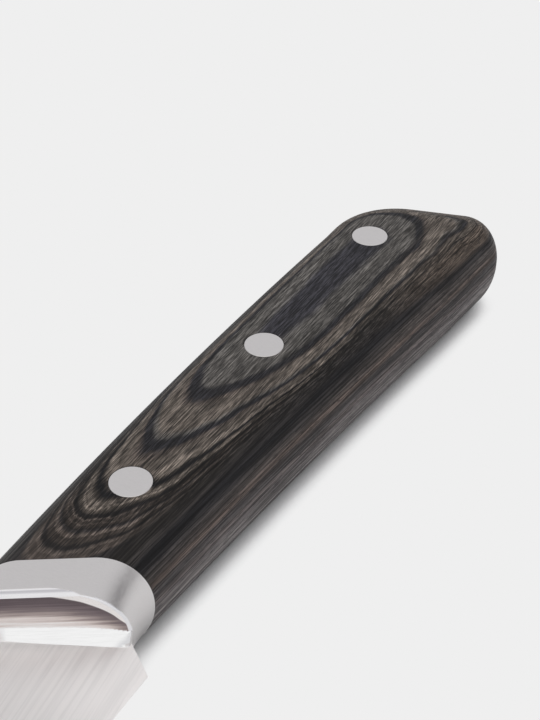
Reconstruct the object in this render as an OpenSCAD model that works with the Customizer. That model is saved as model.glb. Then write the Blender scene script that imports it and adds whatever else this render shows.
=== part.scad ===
/* [Blade] */
// Length of the blade from its heel to its point
blade_l = 150; // [90:1:240]
// Thickness of the spine where it leaves the bolster
spine_t = 1.8; // [1.4:0.1:3]
// Thickness that the spine loses from the bolster to the point
spine_taper = 0.7; // [0:0.1:1]
// Distance from the line of the rivets to the cutting edge at the heel
edge_reach = 17; // [15:0.1:26]
// How far the cutting edge curves up from heel to point
edge_rise = 3.2; // [0.5:0.1:8]
// Length of straight cutting edge in front of the heel
edge_straight_l = 45; // [10:1:80]
// Height of the sharpened bevel along the edge
bevel_h = 0.9; // [0.4:0.1:2]
// Thickness of the blade at the top of that bevel
bevel_t = 0.4; // [0.2:0.05:0.8]
// Length of the slanted tip, measured along the blade
slant_l = 40; // [15:1:60]
// Distance from the middle of the bolster's rear face to the heel
heel_x = 4.1; // [2:0.1:12]
// Length of the sloping notch behind the heel
choil_l = 4.6; // [2:0.1:8]

/* [Bolster] */
// Length of the bolster along its cheek
bolster_l = 7.1; // [4:0.1:12]
// Slant of the bolster's faces, in plan
slant_a = 33; // [0:1:35]
// Length of the sloping foot in front of the nose, on the line of the rivets
foot_l = 0.9; // [0.4:0.1:2]
// Height of the foot above the blade, at the spine
foot_h = 2.3; // [1:0.1:4]
// Share of that height that the foot loses toward the belly
foot_taper = 0.42; // [0:0.01:0.5]
// Slant of the foot's front edge, in plan
foot_a = 27.7; // [20:0.1:35]
// How far the bolster swells toward its nose on the belly side, as a small guard
guard_swell = 1.6; // [0:0.1:4]
// How far each flank's rounding reaches farther over the cheek at the nose than at the wood
nose_crown = 2.3; // [0:0.1:3]
// Bevel that eases the rim of the nose
nose_bevel = 0.9; // [0.3:0.1:2]
// Depth of the seat in the nose that takes the rear end of the blade's ground faces
seat_l = 1.2; // [0.8:0.1:2]

/* [Handle] */
// Length of the wood along the spine, from the bolster to the corner of the butt
handle_l = 107; // [104:1:130]
// Thickness from cheek to cheek
handle_t = 18.6; // [14:0.1:24]
// Distance from the line of the rivets to the spine, where the spine is highest
spine_reach = 11.2; // [9.5:0.1:14]
// How far the spine falls away toward each end
spine_arch = 1; // [0:0.1:2]
// Distance from the line of the rivets to the belly, at the bolster
belly_reach = 10.3; // [9:0.1:14]
// Angle at which the belly spreads toward the butt
belly_flare = 4.6; // [0:0.1:8]
// Depth of the shallow hollow along the belly
belly_hollow = 0.7; // [0:0.1:1.5]
// Lean of the butt, so that it reaches farthest at the belly
butt_lean = 17; // [0:1:25]
// Radius of the butt's corner at the spine
butt_spine_r = 16.2; // [10:0.1:20]
// Radius of the butt's corner at the belly
butt_belly_r = 7.5; // [5:0.1:10]
// Depth of the rounded sides
side_round = 6.2; // [3:0.1:7]
// Depth of the rounded butt
butt_round = 9.8; // [5:0.1:12]

/* [Tang] */
// Length of the tang behind the bolster
tang_l = 98; // [96:1:102]
// Distance from the line of the rivets to the tang's inner edge, at the bolster
tang_reach = 5; // [4:0.1:7]
// The same distance at the tang's rear end
tang_end_reach = 4; // [3.6:0.1:6]
// Radius of the tang's inner corner at its rear end
tang_end_r = 5; // [2:0.1:7]

/* [Rivets] */
// Diameter of the rivet heads
head_d = 6.4; // [5:0.1:8]
// Thickness of the rivet heads
head_h = 1.6; // [1:0.1:3]
// Outer diameter of the hollow shank
tube_d = 4.2; // [3.6:0.1:4.8]
// Diameter of the pin that goes into the hollow shank
pin_d = 2.6; // [1.6:0.1:3]
// Distance from the bolster to the front rivet, along the line of the rivets
rivet_front = 17.5; // [12:0.1:20]
// Distance from each rivet to the next
rivet_pitch = 37.2; // [30:0.1:38]

/* [Fits] */
// Clearance on each face of the blade and tang in their slots
slot_gap = 0.05; // [0.02:0.01:0.2]
// Clearance around the tang's inner edges in the wood and the bolster
tang_gap = 0.15; // [0.05:0.05:0.5]
// Clearance around the rivets in the wood, and around the pin
rivet_gap = 0.05; // [0.02:0.01:0.15]
// Clearance around the rivets in the tang
tang_hole_gap = 0.2; // [0.05:0.05:0.5]
// Clearance past the free ends of the shank and the pin
end_gap = 0.4; // [0.1:0.1:1]

/* [Hidden] */
$fn = 96;

// The line of the rivets is the X axis here, X runs toward the point of the blade,
// Y toward the cutting edge, and X = 0 is the middle of the bolster's rear face.
// Distances called u are measured square to the bolster's slanted faces.
mid_z = handle_t / 2;
slot_t = spine_t + 2 * slot_gap;
nose_u = bolster_l * cos(slant_a);
seat_u = nose_u - seat_l;
point_x = heel_x + blade_l;
arch_half = (handle_l - butt_spine_r) / 2;
foot_least = 0.15;
foot_fall = 6;
far = 400;
wide = 60;

// Steps along the handle's long sides and the bolster's, round corners, up the rounded
// flank, along the nose, up its foot and along the blade, and passes that find crossings
side_steps = 8;
guard_steps = 6;
corner_steps = 12;
flank_steps = 8;
nose_steps = 6;
foot_steps = 6;
edge_steps = 24;
crossing_passes = 12;

function unit(v) = v / norm(v);
function turned(v, a) = [v[0] * cos(a) - v[1] * sin(a), v[0] * sin(a) + v[1] * cos(a)];

// Where the line through p along u meets the line through q along v
function meeting(p, u, q, v) = p + u * cross(q - p, v) / cross(u, v);

// The arc of radius r that rounds the corner b between its neighbours a and c
function corner_arc(a, b, c, r) =
    let (u = unit(a - b))
    let (v = unit(c - b))
    let (half = acos(u * v) / 2)
    let (centre = b + unit(u + v) * r / sin(half))
    let (start = b + u * r / tan(half) - centre)
    [for (i = [0 : corner_steps]) centre + turned(start, (180 - 2 * half) * i / corner_steps)];

// A closed outline with the corners that have a radius rounded
function rounded(p, r) = let (n = len(p)) [
    for (i = [0 : n - 1])
        each r[i] > 0 ? corner_arc(p[(i + n - 1) % n], p[i], p[(i + 1) % n], r[i]) : [p[i]]
];

// The long sides of handle and bolster, as curves along X. A share from 0 to 1 draws them in
// from the middle plane, where they are widest, to the rim of the flat cheeks.
function along_arch(x) = pow(x / arch_half + 1, 2);
function along_bolster(x, y) = max(0, (x + y * tan(slant_a)) / bolster_l);
function guard_y(x) = guard_swell * pow(along_bolster(x, belly_reach), 2);
function spine_y(x, share = 0) =
    let (rim = -spine_reach + side_round * share)
    rim + spine_arch * along_arch(x) + nose_crown * share * along_bolster(x, rim);
function belly_y(x, share = 0) =
    let (rim = belly_reach - side_round * share)
    rim - x * tan(belly_flare) - belly_hollow * (1 - along_arch(x))
    + guard_y(x) * (1 - share) - nose_crown * share * along_bolster(x, rim);

// X of a point on the bolster's rear face or on its nose
function joint_x(y) = -y * tan(slant_a);
function nose_x(y, h) = bolster_l - y * tan(slant_a) - nose_depth(y, h);

// X where those two faces cross a side: each pass corrects it by the side's own curve
function spine_joint_x(share, x = 0, passes = crossing_passes) =
    passes == 0 ? x : spine_joint_x(share, joint_x(spine_y(x, share)), passes - 1);
function belly_joint_x(share, x = 0, passes = crossing_passes) =
    passes == 0 ? x : belly_joint_x(share, joint_x(belly_y(x, share)), passes - 1);
function spine_nose_x(share, h, x = 0, passes = crossing_passes) =
    passes == 0 ? x : spine_nose_x(share, h, nose_x(spine_y(x, share), h), passes - 1);
function belly_nose_x(share, h, x = 0, passes = crossing_passes) =
    passes == 0 ? x : belly_nose_x(share, h, nose_x(belly_y(x, share), h), passes - 1);

// Points of a side from one X to another, both included
function spine_run(x0, x1, steps, share) =
    [for (i = [0 : steps]) let (x = x0 + (x1 - x0) * i / steps) [x, spine_y(x, share)]];
function belly_run(x0, x1, steps, share) =
    [for (i = [0 : steps]) let (x = x0 + (x1 - x0) * i / steps) [x, belly_y(x, share)]];

// One layer of the wood, counter-clockwise from the joint along the belly, round the butt and
// back along the spine. The butt has its own depth, and its corners tighten as they draw in.
function wood_layer(share) =
    let (end = -2 * arch_half)
    let (drawn_in = (side_round + butt_round) / 2 * share)
    let (butt = [-handle_l, spine_y(end)] + [cos(butt_lean), sin(butt_lean)] * butt_round * share)
    let (across = [-sin(butt_lean), cos(butt_lean)])
    let (belly_end = [-cos(belly_flare), sin(belly_flare)])
    let (sides = concat(
        belly_run(belly_joint_x(share), end, side_steps, share),
        [meeting(butt, across, [end, belly_y(end, share)], belly_end)],
        [meeting(butt, across, [end, spine_y(end, share)], [1, 0])],
        spine_run(end, spine_joint_x(share), side_steps, share)))
    rounded(sides, [for (i = [0 : len(sides) - 1])
        i == side_steps + 1 ? max(butt_belly_r - drawn_in, 0.5) :
        i == side_steps + 2 ? max(butt_spine_r - drawn_in, 0.5) : 0]);

// Points of the nose between the spine and the belly, at a height from the middle plane
function nose_run(y0, y1, h) =
    [for (i = [1 : nose_steps - 1]) let (y = y0 + (y1 - y0) * i / nose_steps) [nose_x(y, h), y]];

// One layer of the bolster, counter-clockwise along the belly, the rear face, the spine and the
// nose
function bolster_layer(share, h) =
    let (belly_end = belly_nose_x(share, h))
    let (spine_end = spine_nose_x(share, h))
    concat(
        belly_run(belly_end, belly_joint_x(share), guard_steps, share),
        spine_run(spine_joint_x(share), spine_end, guard_steps, share),
        nose_run(spine_y(spine_end, share), belly_y(belly_end, share), h));

// Share of the side's depth at a height from the middle plane, which makes the flank elliptic
function flank_share(h) = 1 - sqrt(max(0, 1 - pow(h / mid_z, 2)));

// Spine of the blade, which carries on from the nose
blade_spine = spine_y(bolster_l + spine_reach * tan(slant_a));

// Half the thickness of the blade beside the bolster: its flat grind thins it toward the edge
function blade_half(y) =
    (spine_t - (spine_t - bevel_t) * max(0, y - blade_spine) / (edge_reach - bevel_h - blade_spine)) / 2;

// Height and length of the foot at a place along the nose: it loses height only toward the belly
function foot_top(y) =
    let (across = max(0, y + spine_reach) / (belly_reach + spine_reach))
    foot_h * (1 - foot_taper * pow(across, foot_fall));
function foot_reach(y) = max(foot_least, foot_l + y * (tan(slant_a) - tan(foot_a)));

// Depth of the nose along X, at a height from the middle plane: a foot that slopes forward onto
// the blade, a face that follows the slant and a bevelled rim
function nose_depth(y, h) =
    let (over = h - blade_half(y))
    over < foot_top(y) ? -foot_reach(y) * (1 - max(0, over) / foot_top(y)) :
    max(0, h - mid_z + nose_bevel) / cos(slant_a);

// Widest outlines, and the outermost points of the whole knife, which set its centre
wood_outline = wood_layer(0);
bolster_outline = bolster_layer(0, mid_z - nose_bevel);
butt_x = min([for (p = wood_outline) p[0]]);
far_y = max(edge_reach, max([for (p = wood_outline) p[1]]));
near_y = min([for (p = wood_outline) p[1]]);
shift = [-(butt_x + point_x) / 2, -(far_y + near_y) / 2, 0];

// Cutting edge of the blade, along X
function edge_y(x) =
    edge_reach - edge_rise * pow(max(0, (x - heel_x - edge_straight_l) / (blade_l - edge_straight_l)), 2);

// Skin of a solid whose rings all have n points, its faces clockwise from outside
function skin(n, rings) = concat(
    [[for (i = [0 : n - 1]) i]],
    [for (k = [0 : rings - 2], i = [0 : n - 1])
        let (a = k * n + i)
        let (b = k * n + (i + 1) % n)
        each [[a, a + n, b + n], [a, b + n, b]]],
    [[for (i = [n - 1 : -1 : 0]) (rings - 1) * n + i]]
);

// A solid through rings of points, one above the other
module lofted(rings) {
    polyhedron([for (ring = rings) each ring], skin(len(rings[0]), len(rings)), convexity = 4);
}

// The wood before it is slotted and drilled: flat cheeks, elliptic flanks, rounded butt
module wood_body() {
    heights = [for (k = [-flank_steps : flank_steps]) mid_z * sin(90 * k / flank_steps)];
    lofted([for (h = heights) [for (p = wood_layer(flank_share(h))) [p[0], p[1], mid_z + h]]]);
}

// The bolster before it is slotted, which carries on the wood's section
module bolster_body() {
    foot = [for (k = [0 : foot_steps]) slot_t / 2 + foot_h * k / foot_steps];
    flank = [for (k = [1 : flank_steps]) let (h = mid_z * sin(90 * k / flank_steps))
                if (h > foot[foot_steps] + 0.2 && h < mid_z - nose_bevel) h];
    upper = concat([bevel_t / 2], foot, flank, [mid_z - nose_bevel, mid_z]);
    count = len(upper);
    heights = concat([for (i = [count - 1 : -1 : 0]) -upper[i]], upper);
    lofted([for (h = heights)
        [for (p = bolster_layer(flank_share(h), abs(h))) [p[0], p[1], mid_z + h]]]);
}

// All that lies ahead of a plane parallel to the bolster's faces, at distance u
module ahead_of(u) {
    rotate([0, 0, slant_a])
        translate([u, -far / 2, -wide / 2])
            cube([far, far, 2 * wide]);
}

// All that lies behind such a plane
module behind(u) {
    rotate([0, 0, slant_a])
        translate([u - far, -far / 2, -wide / 2])
            cube([far, far, 2 * wide]);
}

// A slice of even thickness about the middle plane
module slice(thickness) {
    translate([0, 0, mid_z - thickness / 2])
        linear_extrude(thickness)
            children();
}

// Outline of the tang, larger by a gap along its inner edge and its end
module tang_outline(gap) {
    polygon(rounded([
        [wide, -wide],
        [wide, tang_reach + gap],
        [0, tang_reach + gap],
        [-tang_l - gap, tang_end_reach + gap],
        [-tang_l - gap, -wide]
    ], [0, 0, 0, tang_end_r, 0]));
}

// The blade ground flat on both sides, with its sharpened bevel, before its ends are cut. A gap
// makes it larger all round, for its seat in the bolster.
module ground_blade(gap = 0) {
    start_x = -bolster_l;
    step = (point_x + 1 - start_x) / edge_steps;
    rings = [
        for (i = [0 : edge_steps])
            let (x = start_x + i * step)
            let (half = (spine_t - spine_taper * max(0, x) / point_x) / 2 + gap)
            [[x, blade_spine - gap, mid_z - half],
             [x, edge_y(x) - bevel_h, mid_z - bevel_t / 2 - gap],
             [x, edge_y(x) + gap, mid_z],
             [x, edge_y(x) - bevel_h, mid_z + bevel_t / 2 + gap],
             [x, blade_spine - gap, mid_z + half]]
    ];
    polyhedron([for (ring = rings) each ring], skin(5, edge_steps + 1), convexity = 4);
}

// What the slanted tip and the notch behind the heel take away
module blade_cuts() {
    linear_extrude(wide) {
        polygon([[point_x, edge_y(point_x)], [point_x - slant_l, blade_spine],
                 [point_x - slant_l, -wide], [point_x + wide, -wide], [point_x + wide, wide]]);
        polygon([[heel_x, edge_reach], [heel_x - choil_l, belly_reach],
                 [-wide, belly_reach], [-wide, wide], [heel_x, wide]]);
    }
}

// The tang, flush with the spine of the wood and of the bolster
module tang_plate() {
    intersection() {
        union() {
            polygon(wood_outline);
            polygon(bolster_outline);
        }
        tang_outline(0);
    }
}

module at_rivet(number) {
    translate([-rivet_front - number * rivet_pitch, 0, 0])
        children();
}

module blade() {
    color("gainsboro")
        translate(shift)
            difference() {
                union() {
                    intersection() {
                        slice(spine_t)
                            tang_plate();
                        behind(seat_u + seat_l / 2);
                    }
                    intersection() {
                        ground_blade();
                        ahead_of(seat_u);
                    }
                }
                blade_cuts();
                for (number = [0 : 2])
                    at_rivet(number)
                        cylinder(h = handle_t, d = tube_d + 2 * tang_hole_gap);
            }
}

module bolster() {
    color("silver")
        translate(shift)
            difference() {
                bolster_body();
                slice(slot_t)
                    tang_outline(tang_gap);
                intersection() {
                    ground_blade(slot_gap);
                    ahead_of(seat_u - tang_gap);
                }
            }
}

module handle() {
    color([0.2, 0.19, 0.17])
        translate(shift)
            difference() {
                wood_body();
                slice(slot_t)
                    tang_outline(tang_gap);
                for (number = [0 : 2])
                    at_rivet(number)
                        rivet_hole();
            }
}

// Hole for one rivet, with a counterbore for the head in each cheek
module rivet_hole() {
    cylinder(h = handle_t, d = tube_d + 2 * rivet_gap);
    cylinder(h = head_h, d = head_d + 2 * rivet_gap);
    translate([0, 0, handle_t - head_h])
        cylinder(h = head_h, d = head_d + 2 * rivet_gap);
}

// The half of a rivet with the hollow shank, head uppermost
module rivet_tube(number) {
    color("lightgrey")
        translate(shift)
            at_rivet(number)
                difference() {
                    union() {
                        translate([0, 0, handle_t - head_h])
                            cylinder(h = head_h, d = head_d);
                        translate([0, 0, head_h + end_gap])
                            cylinder(h = handle_t - 2 * head_h - end_gap, d = tube_d);
                    }
                    cylinder(h = handle_t - head_h, d = pin_d + 2 * rivet_gap);
                }
}

// The other half, whose pin stands up into the hollow shank
module rivet_pin(number) {
    color("darkgrey")
        translate(shift)
            at_rivet(number) {
                cylinder(h = head_h, d = head_d);
                cylinder(h = handle_t - head_h - end_gap, d = pin_d);
            }
}

blade();
bolster();
handle();
rivet_tube(0);  // front_rivet_tube
rivet_pin(0);  // front_rivet_pin
rivet_tube(1);  // middle_rivet_tube
rivet_pin(1);  // middle_rivet_pin
rivet_tube(2);  // rear_rivet_tube
rivet_pin(2);  // rear_rivet_pin
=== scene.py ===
"""Visual model of a small kiritsuke knife with a riveted handle of laminated wood."""

import logging
import math
from collections.abc import Callable, Sequence
from dataclasses import dataclass, field
from enum import Enum

import bmesh
import bpy
from mathutils import Matrix, Vector


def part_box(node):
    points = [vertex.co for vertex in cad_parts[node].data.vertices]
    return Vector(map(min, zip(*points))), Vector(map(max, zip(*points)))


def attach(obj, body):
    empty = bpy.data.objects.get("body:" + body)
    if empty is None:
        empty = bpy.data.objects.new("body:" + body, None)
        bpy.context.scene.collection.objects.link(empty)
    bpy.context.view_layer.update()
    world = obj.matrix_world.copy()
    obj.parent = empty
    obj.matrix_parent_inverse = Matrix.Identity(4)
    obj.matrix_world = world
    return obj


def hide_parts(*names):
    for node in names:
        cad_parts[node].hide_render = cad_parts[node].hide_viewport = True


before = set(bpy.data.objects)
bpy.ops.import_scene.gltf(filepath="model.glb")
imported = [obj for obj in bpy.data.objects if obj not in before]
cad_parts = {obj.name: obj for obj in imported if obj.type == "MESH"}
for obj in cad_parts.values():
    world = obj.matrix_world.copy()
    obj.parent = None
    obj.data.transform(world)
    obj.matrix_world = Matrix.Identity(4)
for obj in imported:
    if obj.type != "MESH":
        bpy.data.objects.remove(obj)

LOG = logging.getLogger("kiritsuke")
BODY = "root"
MM = 0.001
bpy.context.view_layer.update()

Point = tuple[float, float]
Triple = tuple[float, float, float]
Colour = tuple[float, float, float]
Tone = tuple[float, Colour]
Side = Callable[[float, float], float]
Mesh = bmesh.types.BMesh
Vert = bmesh.types.BMVert

# In millimetres: vertices closer than WELD become one, and what is closer than TOUCH touches.
WELD = 0.0005
TOUCH = 0.01

# The rivets and their places along the knife, in millimetres from its own zero.
RIVETS = {"front": -17.5, "middle": -54.7, "rear": -91.9}


def srgb(red: float, green: float, blue: float) -> Colour:
    """Turn a colour as an eye-dropper reads it, from 0 to 255, into linear light.

    Args:
        red: Red part.
        green: Green part.
        blue: Blue part.

    Returns:
        The same colour as linear values from 0 to 1.
    """
    parts = []
    for part in (red, green, blue):
        share = part / 255.0
        parts.append(share / 12.92 if share <= 0.04045 else ((share + 0.055) / 1.055) ** 2.4)
    return parts[0], parts[1], parts[2]


def evenly(start: float, end: float, steps: int) -> list[float]:
    """List evenly spaced values, both ends included."""
    return [start + (end - start) * step / steps for step in range(steps + 1)]


# Where the knife's own zero lies.


@dataclass(frozen=True)
class Datum:
    """The knife's own zero: on the line of the rivets, in the middle of the bolster's rear face.

    From it X runs toward the point, Y toward the cutting edge and Z up from the lower cheek,
    in millimetres.
    """

    x: float
    y: float

    @classmethod
    def from_rivet(cls, node: str, distance: float) -> "Datum":
        """Find the zero from a rivet whose distance behind it is known.

        Args:
            node: Name of the rivet's node.
            distance: How far the rivet stands behind the zero, in millimetres.

        Returns:
            The datum, in millimetres of the part's frame.
        """
        low, high = (Vector(corner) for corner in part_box(node))
        middle = (low + high) / 2 / MM
        return cls(middle.x + distance, middle.y)

    def place(self, mesh: Mesh) -> None:
        """Carry a mesh built in millimetres from the zero into the part's frame, in metres."""
        bmesh.ops.translate(mesh, verts=mesh.verts, vec=Vector((self.x, self.y, 0.0)))
        bmesh.ops.scale(mesh, verts=mesh.verts, vec=Vector((MM, MM, MM)))


# Mesh work shared by the pieces.


def closed_ring(mesh: Mesh, points: Sequence[Point], height: float) -> list[Vert]:
    """Lay a closed ring of edges at one height.

    Args:
        mesh: Mesh that takes the ring.
        points: Corners of the ring, in order.
        height: Height of the ring.

    Returns:
        The ring's vertices, in order.
    """
    ring = [mesh.verts.new((x, y, height)) for x, y in points]
    for index, vert in enumerate(ring):
        mesh.edges.new((vert, ring[(index + 1) % len(ring)]))
    return ring


def next_layer(mesh: Mesh, ring: Sequence[Vert], points: Sequence[Point], height: float) -> list[Vert]:
    """Extrude a ring and move the new ring to its own outline and height.

    Args:
        mesh: Mesh that holds the ring.
        ring: The ring to extrude.
        points: Corners of the new ring, as many as the old one has.
        height: Height of the new ring.

    Returns:
        The new ring's vertices, in the old ring's order.
    """
    edges = [mesh.edges.get((vert, ring[(index + 1) % len(ring)])) for index, vert in enumerate(ring)]
    made = bmesh.ops.extrude_edge_only(mesh, edges=edges)["geom"]
    fresh = {item for item in made if isinstance(item, Vert)}
    upper = []
    for vert, (x, y) in zip(ring, points):
        twin = next(edge.other_vert(vert) for edge in vert.link_edges if edge.other_vert(vert) in fresh)
        twin.co = (x, y, height)
        upper.append(twin)
    return upper


def pocket(mesh: Mesh, faces: Sequence[bmesh.types.BMFace], push: Vector) -> None:
    """Sink faces into the solid, leaving walls around them.

    Args:
        mesh: Mesh of the solid.
        faces: Faces that become the pocket's floor.
        push: How far and which way they go in.
    """
    made = bmesh.ops.extrude_face_region(mesh, geom=list(faces))["geom"]
    bmesh.ops.delete(mesh, geom=list(faces), context="FACES")
    floor = [item for item in made if isinstance(item, Vert)]
    bmesh.ops.translate(mesh, verts=floor, vec=push)


def finished(name: str, mesh: Mesh, datum: Datum, crisp: float) -> bpy.types.Object:
    """Turn a mesh built in millimetres into a smooth-shaded object of the scene.

    Args:
        name: Name of the object.
        mesh: The built mesh, which is freed here.
        datum: Where the knife's own zero lies.
        crisp: Angle in degrees past which an edge stays crisp.

    Returns:
        The object, at the origin, with its place in its mesh.
    """
    bmesh.ops.remove_doubles(mesh, verts=mesh.verts, dist=WELD)
    bmesh.ops.recalc_face_normals(mesh, faces=mesh.faces)
    datum.place(mesh)
    for face in mesh.faces:
        face.smooth = True
    piece = shown(name, mesh)
    piece.data.set_sharp_from_angle(angle=math.radians(crisp))
    return piece


def shown(name: str, mesh: Mesh) -> bpy.types.Object:
    """Free a mesh into a new object of the scene.

    Args:
        name: Name of the object and of its data.
        mesh: The built mesh, which is freed here.

    Returns:
        The object.
    """
    data = bpy.data.meshes.new(name)
    mesh.to_mesh(data)
    mesh.free()
    piece = bpy.data.objects.new(name, data)
    bpy.context.scene.collection.objects.link(piece)
    return piece


# The form that wood and bolster share.


def corner_arc(before: Vector, corner: Vector, after: Vector, radius: float, steps: int) -> list[Point]:
    """Round a corner between two straight lines.

    Args:
        before: A point on the line that comes in.
        corner: Where the lines meet.
        after: A point on the line that goes out.
        radius: Radius of the rounding.
        steps: Number of steps along the arc.

    Returns:
        Points along the arc, both ends included.
    """
    back = (before - corner).normalized()
    ahead = (after - corner).normalized()
    half = back.angle(ahead) / 2
    centre = corner + (back + ahead).normalized() * radius / math.sin(half)
    spoke = corner + back * radius / math.tan(half) - centre
    sweep = math.copysign(math.pi - 2 * half, (corner - before).cross(after - corner))
    points = [centre + Matrix.Rotation(angle, 2) @ spoke for angle in evenly(0.0, sweep, steps)]
    return [(point.x, point.y) for point in points]


def meeting(p: Vector, u: Vector, q: Vector, v: Vector) -> Vector:
    """Find where the line through p along u meets the line through q along v."""
    return p + u * ((q - p).cross(v) / u.cross(v))


@dataclass(frozen=True)
class HandleForm:
    """The curves that the wood and the bolster follow, in millimetres from the knife's zero."""

    thickness: float = 18.6
    length: float = 107.0
    spine_reach: float = 11.2
    spine_arch: float = 1.0
    belly_reach: float = 10.3
    belly_flare: float = 4.6
    belly_hollow: float = 0.7
    butt_lean: float = 17.0
    butt_spine_r: float = 16.2
    butt_belly_r: float = 7.5
    least_corner_r: float = 0.5
    side_round: float = 6.2
    butt_round: float = 9.8
    slant: float = 33.0
    bolster_l: float = 7.1
    guard_swell: float = 1.6
    nose_crown: float = 2.3
    spine_t: float = 1.8
    bevel_t: float = 0.4
    bevel_h: float = 0.9
    edge_reach: float = 17.0
    side_steps: int = 20
    corner_steps: int = 20
    crossing_tries: int = 14

    @property
    def middle(self) -> float:
        """Height of the middle plane."""
        return self.thickness / 2

    @property
    def arch_half(self) -> float:
        """Half the length over which the long sides curve."""
        return (self.length - self.butt_spine_r) / 2

    @property
    def lean(self) -> float:
        """How far the slanted faces run along the knife for each millimetre across it."""
        return math.tan(math.radians(self.slant))

    @property
    def blade_spine(self) -> float:
        """Place of the blade's spine, which carries on from the nose."""
        return self.spine_y(self.bolster_l + self.spine_reach * self.lean, 0.0)

    def blade_half(self, y: float) -> float:
        """Half the thickness of the blade beside the bolster, thinner toward the edge."""
        reach = self.edge_reach - self.bevel_h - self.blade_spine
        return (self.spine_t - (self.spine_t - self.bevel_t) * max(0.0, y - self.blade_spine) / reach) / 2

    def share(self, height: float) -> float:
        """Share of the sides' depth at a height, which makes the flanks elliptic."""
        rise = (height - self.middle) / self.middle
        return 1 - math.sqrt(max(0.0, 1 - rise * rise))

    def along(self, x: float) -> float:
        """Square of the distance from the arch's middle, one at its ends."""
        return (x / self.arch_half + 1) ** 2

    def along_bolster(self, x: float, y: float) -> float:
        """Share of the bolster's length that lies behind a place, zero on the wood."""
        return max(0.0, (x + y * self.lean) / self.bolster_l)

    def spine_y(self, x: float, share: float) -> float:
        """Place of the spine side at a point along the knife."""
        rim = -self.spine_reach + self.side_round * share
        return rim + self.spine_arch * self.along(x) + self.nose_crown * share * self.along_bolster(x, rim)

    def belly_y(self, x: float, share: float) -> float:
        """Place of the belly side at a point along the knife.

        Args:
            x: Place along the knife.
            share: Share of the sides' depth.

        Returns:
            The place across the knife.
        """
        rim = self.belly_reach - self.side_round * share
        flare = x * math.tan(math.radians(self.belly_flare))
        hollow = self.belly_hollow * (1 - self.along(x))
        swell = self.guard_swell * self.along_bolster(x, self.belly_reach) ** 2 * (1 - share)
        return rim - flare - hollow + swell - self.nose_crown * share * self.along_bolster(x, rim)

    def crossing(self, side: Side, share: float, face: Callable[[float], float]) -> float:
        """Find where a slanted face crosses a side.

        Args:
            side: The side, as a function of the place along the knife and the share.
            share: Share of the side's depth.
            face: The face, as the place along the knife for a place across it.

        Returns:
            The place along the knife.
        """
        x = 0.0
        for _ in range(self.crossing_tries):
            x = face(side(x, share))
        return x

    def joint_x(self, y: float) -> float:
        """Place of the joint between wood and bolster."""
        return -y * self.lean

    def run(self, side: Side, start: float, end: float, steps: int, share: float) -> list[Point]:
        """List points of a side from one place to another, both included."""
        return [(x, side(x, share)) for x in evenly(start, end, steps)]

    def wood_ring(self, share: float) -> list[Point]:
        """Outline of the wood at a share of its sides' depth: belly, butt, spine.

        Args:
            share: Share of the depth, 0 at the middle plane and 1 at the rim of the cheeks.

        Returns:
            The outline's points, from the joint along the belly and back along the spine.
        """
        end = -2 * self.arch_half
        lean = math.radians(self.butt_lean)
        flare = math.radians(self.belly_flare)
        drawn_in = (self.side_round + self.butt_round) / 2 * share
        butt = Vector((-self.length, self.spine_y(end, 0.0)))
        butt += Vector((math.cos(lean), math.sin(lean))) * self.butt_round * share
        across = Vector((-math.sin(lean), math.cos(lean)))
        belly_end = Vector((end, self.belly_y(end, share)))
        spine_end = Vector((end, self.spine_y(end, share)))
        belly_corner = meeting(butt, across, belly_end, Vector((-math.cos(flare), math.sin(flare))))
        spine_corner = meeting(butt, across, spine_end, Vector((1.0, 0.0)))
        belly_r = max(self.butt_belly_r - drawn_in, self.least_corner_r)
        spine_r = max(self.butt_spine_r - drawn_in, self.least_corner_r)
        belly_joint = self.crossing(self.belly_y, share, self.joint_x)
        spine_joint = self.crossing(self.spine_y, share, self.joint_x)
        belly = self.run(self.belly_y, belly_joint, end, self.side_steps, share)
        spine = self.run(self.spine_y, end, spine_joint, self.side_steps, share)
        low = corner_arc(belly_end, belly_corner, spine_corner, belly_r, self.corner_steps)
        high = corner_arc(belly_corner, spine_corner, spine_end, spine_r, self.corner_steps)
        return belly + low + high + spine


# Node graphs for the finishes.

Socket = bpy.types.NodeSocket
Span = tuple[float, float, float, float]
SEED_STEPS = (1.0, 1.7, 0.6)
WHITE = srgb(255, 255, 255)


@dataclass(frozen=True)
class Grain:
    """Noise with its own number of waves per millimetre along each axis."""

    waves: Triple
    detail: float
    rough: float
    seed: float


@dataclass(frozen=True)
class Profile:
    """A smooth curve from one place to another, through points from 0 to its greatest height."""

    low: float
    high: float
    top: float
    points: tuple[Point, ...]


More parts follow.
